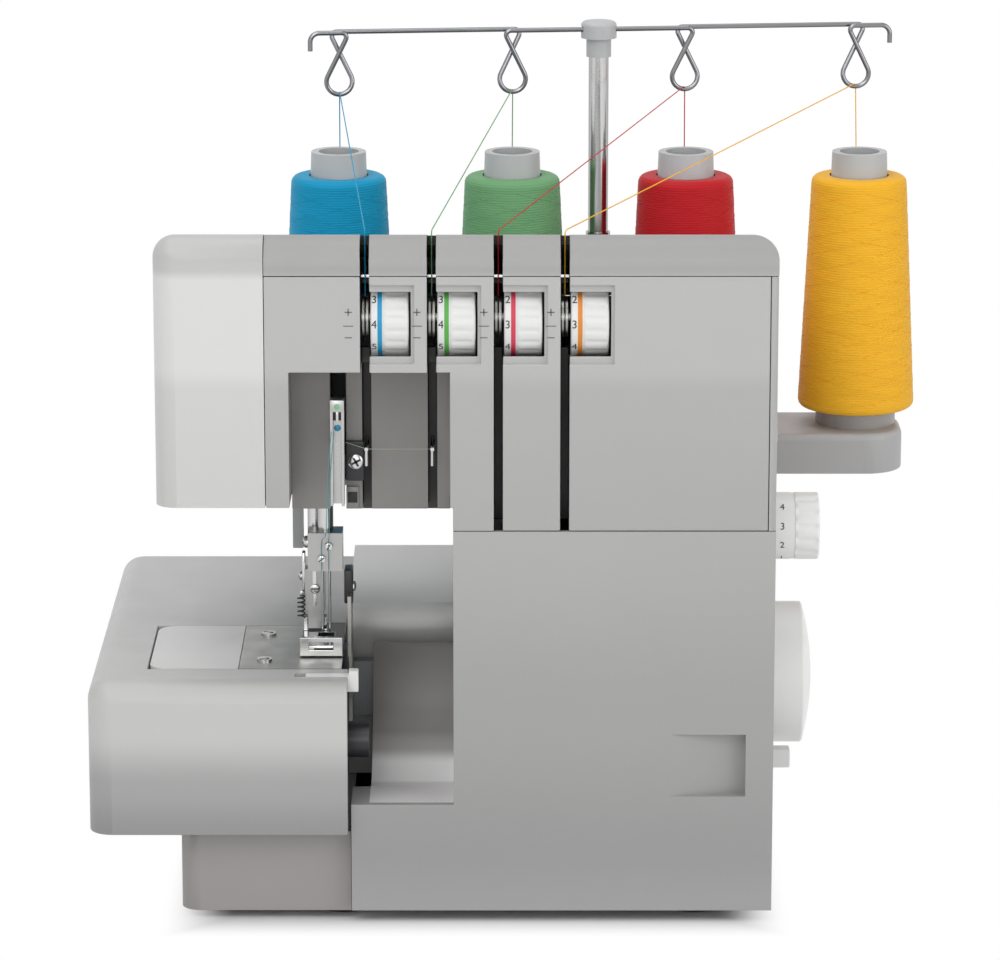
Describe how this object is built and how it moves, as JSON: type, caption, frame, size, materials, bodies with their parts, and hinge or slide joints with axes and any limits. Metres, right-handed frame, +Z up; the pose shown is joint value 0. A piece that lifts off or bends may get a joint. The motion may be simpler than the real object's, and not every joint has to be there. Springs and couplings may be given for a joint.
{
  "type": "serger overlock machine",
  "caption": "Free-arm overlock sewing machine with tension dials, looper cover, extension table, thread cones on a rear stand and a telescopic thread antenna.",
  "frame": {"origin": "middle of the outline seen from above, on the table under the feet", "axes": "+X to the right seen from the front, +Y to the back, +Z up"},
  "size_m": [0.3585, 0.2724, 0.342],
  "materials": {
    "body_grey": "satin",
    "face_grey": "satin",
    "control_white": "satin",
    "black_plastic": "satin",
    "chrome": "polished",
    "steel": "brushed",
    "casting": "cast",
    "bronze": "machined",
    "rubber": "matte",
    "motor": "satin",
    "lever_grey": "satin",
    "core_grey": "matte",
    "lens": "clear",
    "thread_blue": "thread",
    "thread_green": "thread",
    "thread_red": "thread",
    "thread_yellow": "thread",
    "thread_pale": "thread"
  },
  "bodies": {
    "machine": {"antenna_tube": "chrome", "base_tray": "body_grey", "bed_beam": "body_grey", "cone_cores": "core_grey", "drive_belt": "rubber", "face_cover": "face_grey", "frame_casting": "casting", "free_arm_cover": "body_grey", "front_panel": "body_grey", "guide_bracket": "black_plastic", "lower_knife": "black_plastic", "motor_body": "motor", "needle_plate": "steel", "plate_screws": "chrome", "power_inlet": "black_plastic", "rear_cover": "body_grey", "rubber_feet": "rubber", "shaft_bushes": "bronze", "side_cover": "body_grey", "spool_pins": "body_grey", "spool_stand": "body_grey", "tension_units": "steel", "thread_cone_blue": "thread_blue", "thread_cone_green": "thread_green", "thread_cone_red": "thread_red", "thread_cone_yellow": "thread_yellow", "thread_guides": "chrome", "threads": "thread_pale", "top_cover": "body_grey", "work_lamp": "lens"},
    "handwheel": {"handwheel": "face_grey", "main_shaft": "steel", "main_pulley": "casting"},
    "motor_rotor": {"motor_pulley": "casting"},
    "needle_bar": {"needle_bar": "chrome", "needle_clamp": "chrome", "needles": "chrome", "take_up_lever": "chrome"},
    "lifter": {"lifter_lever": "lever_grey"},
    "presser_bar": {"presser_bar": "chrome", "foot_holder": "chrome"},
    "presser_foot": {"presser_foot": "chrome"},
    "upper_looper": {"upper_looper": "steel"},
    "lower_looper": {"lower_looper": "steel"},
    "upper_knife": {"upper_knife": "steel"},
    "feed_dogs": {"feed_dogs": "steel"},
    "dial_blue": {"tension_dial_blue": "control_white"},
    "dial_green": {"tension_dial_green": "control_white"},
    "dial_red": {"tension_dial_red": "control_white"},
    "dial_yellow": {"tension_dial_yellow": "control_white"},
    "length_dial": {"length_dial": "control_white"},
    "feed_lever": {"feed_lever": "control_white"},
    "power_switch": {"power_switch": "black_plastic"},
    "extension_table": {"extension_table": "body_grey"},
    "finger_lever": {"finger_lever": "control_white"},
    "hinge_rod": {"cover_hinge_rod": "steel"},
    "looper_cover": {"looper_cover": "body_grey"},
    "antenna": {"antenna_slider": "chrome", "guide_bar": "chrome", "antenna_cap": "core_grey"}
  },
  "joints": [
    {"name": "handwheel_spin", "type": "hinge", "parent": "machine", "child": "handwheel", "pos_m": [0.09773, -0.03215, 0.0805], "axis": [1, 0, 0], "continuous": true},
    {"name": "motor_spin", "type": "hinge", "parent": "machine", "child": "motor_rotor", "pos_m": [0.07273, 0.01285, 0.045], "axis": [1, 0, 0], "continuous": true},
    {"name": "needle_bar_slide", "type": "slide", "parent": "machine", "child": "needle_bar", "axis": [0, 0, 1], "range_m": [-0.011, 0.013]},
    {"name": "lifter_swing", "type": "hinge", "parent": "machine", "child": "lifter", "pos_m": [-0.09467, -0.04745, 0.17], "axis": [0, 1, 0], "range_deg": [0, 70]},
    {"name": "presser_bar_slide", "type": "slide", "parent": "machine", "child": "presser_bar", "axis": [0, 0, 1], "range_m": [0, 0.006]},
    {"name": "presser_foot_tilt", "type": "hinge", "parent": "presser_bar", "child": "presser_foot", "pos_m": [-0.08717, -0.06015, 0.1105], "axis": [1, 0, 0], "range_deg": [-8, 0]},
    {"name": "upper_looper_swing", "type": "hinge", "parent": "machine", "child": "upper_looper", "pos_m": [-0.11867, -0.06715, 0.075], "axis": [0, 1, 0], "range_deg": [-13, 15]},
    {"name": "lower_looper_swing", "type": "hinge", "parent": "machine", "child": "lower_looper", "pos_m": [-0.10367, -0.07915, 0.073], "axis": [0, 1, 0], "range_deg": [-15, 13]},
    {"name": "upper_knife_slide", "type": "slide", "parent": "machine", "child": "upper_knife", "axis": [0, 0, 1], "range_m": [-0.0045, 0.005]},
    {"name": "feed_dogs_slide", "type": "slide", "parent": "machine", "child": "feed_dogs", "axis": [0, 1, 0], "range_m": [-0.0015, 0.0015]},
    {"name": "dial_blue_turn", "type": "hinge", "parent": "machine", "child": "dial_blue", "pos_m": [-0.05357, -0.11515, 0.254], "axis": [1, 0, 0], "range_deg": [-150, 150]},
    {"name": "dial_green_turn", "type": "hinge", "parent": "machine", "child": "dial_green", "pos_m": [-0.02647, -0.11515, 0.254], "axis": [1, 0, 0], "range_deg": [-150, 150]},
    {"name": "dial_red_turn", "type": "hinge", "parent": "machine", "child": "dial_red", "pos_m": [0.00063, -0.11515, 0.254], "axis": [1, 0, 0], "range_deg": [-150, 150]},
    {"name": "dial_yellow_turn", "type": "hinge", "parent": "machine", "child": "dial_yellow", "pos_m": [0.02773, -0.11515, 0.254], "axis": [1, 0, 0], "range_deg": [-150, 150]},
    {"name": "length_dial_turn", "type": "hinge", "parent": "machine", "child": "length_dial", "pos_m": [0.10773, -0.07215, 0.1554], "axis": [1, 0, 0], "range_deg": [-135, 135]},
    {"name": "feed_lever_slide", "type": "slide", "parent": "machine", "child": "feed_lever", "axis": [0, 0, 1], "range_m": [-0.01, 0.01]},
    {"name": "power_switch_rock", "type": "hinge", "parent": "machine", "child": "power_switch", "pos_m": [0.10133, 0.04185, 0.06], "axis": [0, 1, 0], "range_deg": [-8, 8]},
    {"name": "table_slide", "type": "slide", "parent": "machine", "child": "extension_table", "axis": [-1, 0, 0], "range_m": [0, 0.16]},
    {"name": "finger_lever_slide", "type": "slide", "parent": "extension_table", "child": "finger_lever", "axis": [1, 0, 0], "range_m": [-0.004, 0]},
    {"name": "cover_slide", "type": "slide", "parent": "machine", "child": "hinge_rod", "axis": [1, 0, 0], "range_m": [0, 0.006]},
    {"name": "looper_cover_tilt", "type": "hinge", "parent": "hinge_rod", "child": "looper_cover", "pos_m": [0.00773, -0.12415, 0.01], "axis": [1, 0, 0], "range_deg": [0, 75]},
    {"name": "antenna_slide", "type": "slide", "parent": "machine", "child": "antenna", "axis": [0, 0, 1], "range_m": [-0.02, 0], "deforming": ["threads"]}
  ],
  "couplings": [
    {"joint": "motor_spin", "follows": "handwheel_spin", "ratio": 3.3333},
    {"joint": "lifter_swing", "follows": "presser_bar_slide", "rad_per_m": 203.62},
    {"joint": "upper_looper_swing", "follows": "needle_bar_slide", "rad_per_m": 19},
    {"joint": "lower_looper_swing", "follows": "needle_bar_slide", "rad_per_m": -19},
    {"joint": "upper_knife_slide", "follows": "needle_bar_slide", "ratio": 0.35},
    {"joint": "feed_dogs_slide", "follows": "needle_bar_slide", "ratio": 0.11}
  ]
}
